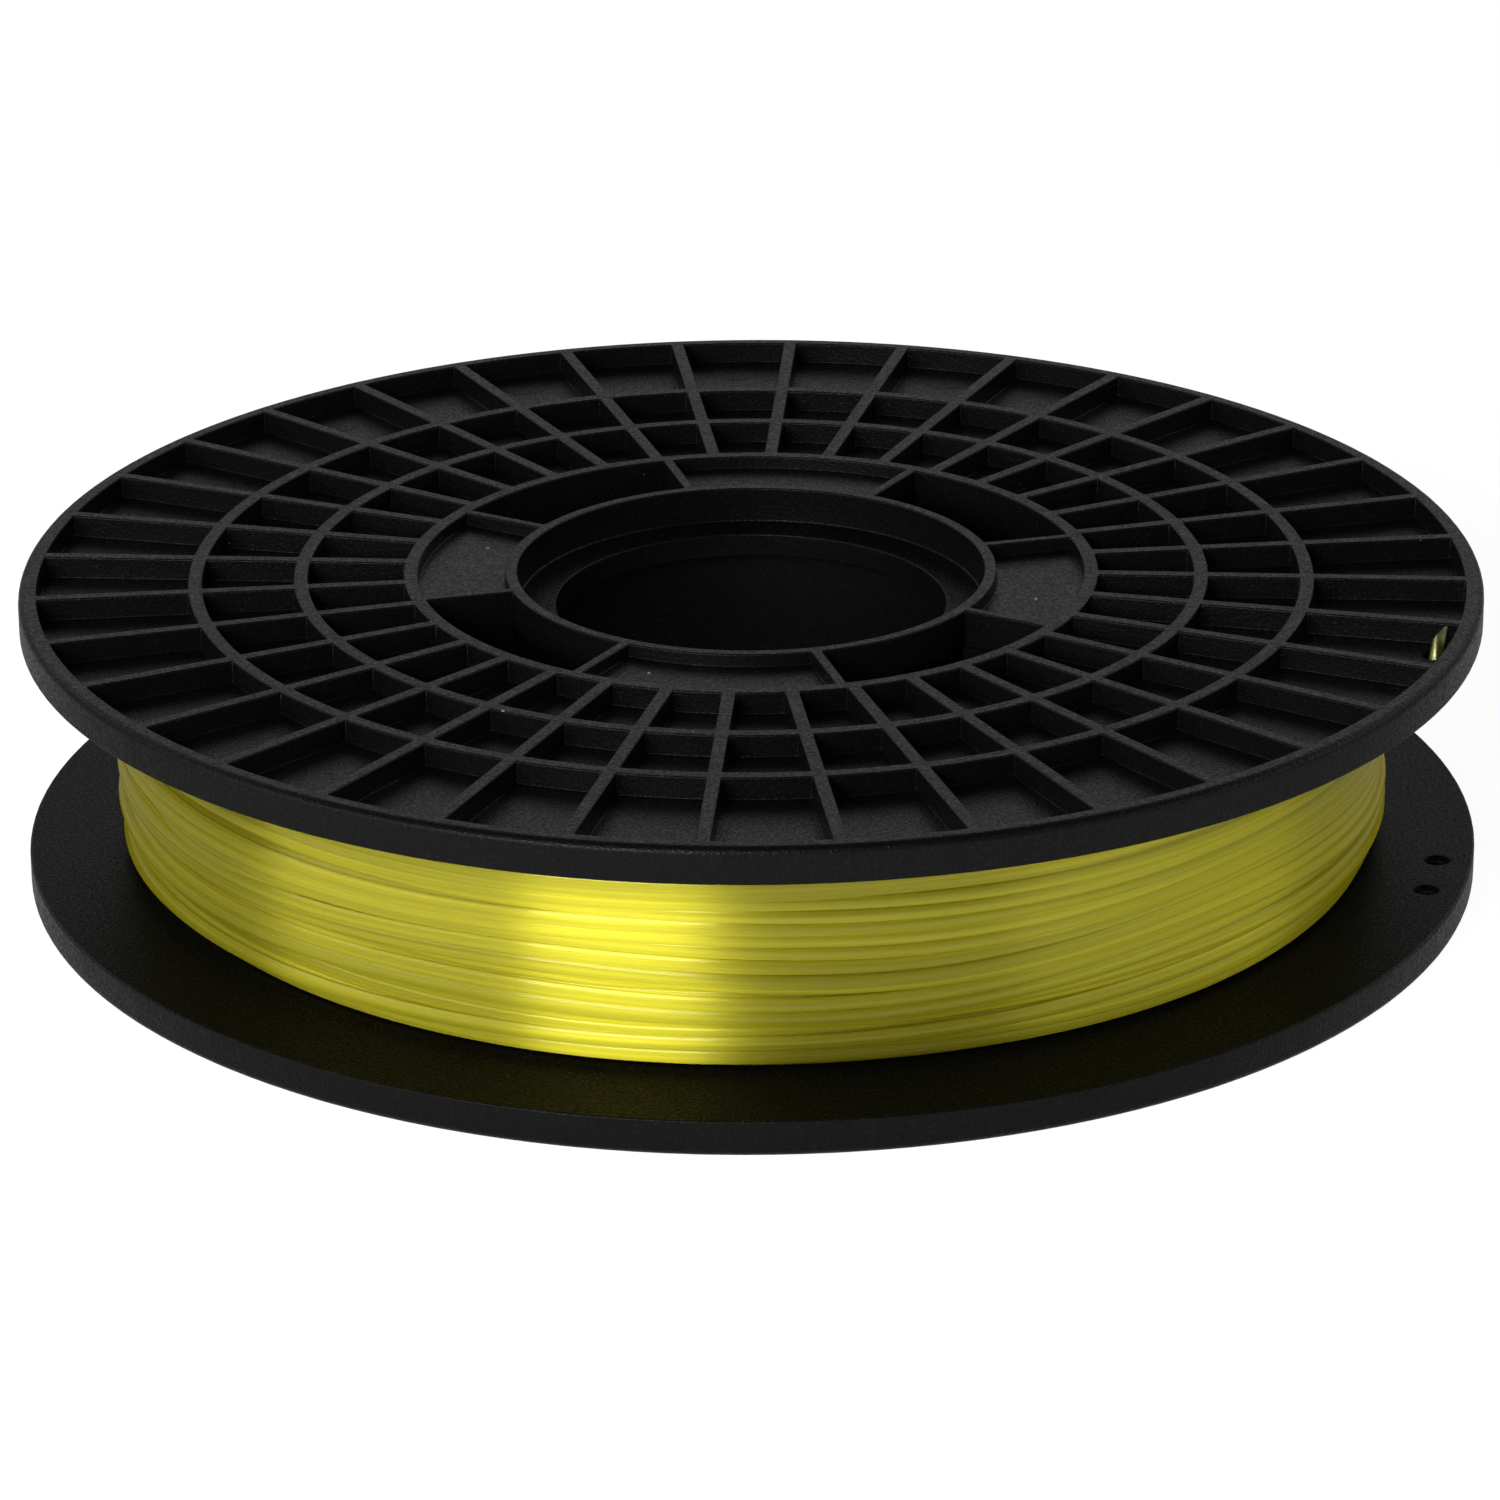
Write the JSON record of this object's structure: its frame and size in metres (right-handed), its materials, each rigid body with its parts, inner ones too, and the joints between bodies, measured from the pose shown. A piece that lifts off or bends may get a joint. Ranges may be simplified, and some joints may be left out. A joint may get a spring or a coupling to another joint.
{
  "type": "string reel",
  "caption": "Flat reel of ribbed moulded flanges on a hollow barrel, wound with stiff round string whose free end is tucked through a hole near the rim.",
  "frame": {"origin": "centre of the reel's base, on the lower flange's outer face", "axes": "+Z along the reel's axis, from the lower flange to the upper one; +X is roughly towards the rim holes that hold the string's end"},
  "size_m": [0.2, 0.2, 0.042],
  "materials": {
    "reel_plastic": "fine matte texture, black",
    "string": "smooth, slightly translucent yellow"
  },
  "bodies": {
    "root": {"lower_flange": "reel_plastic", "hub_barrel": "reel_plastic", "upper_flange": "reel_plastic", "string_core": "string", "string_turns": "string"}
  },
  "joints": []
}
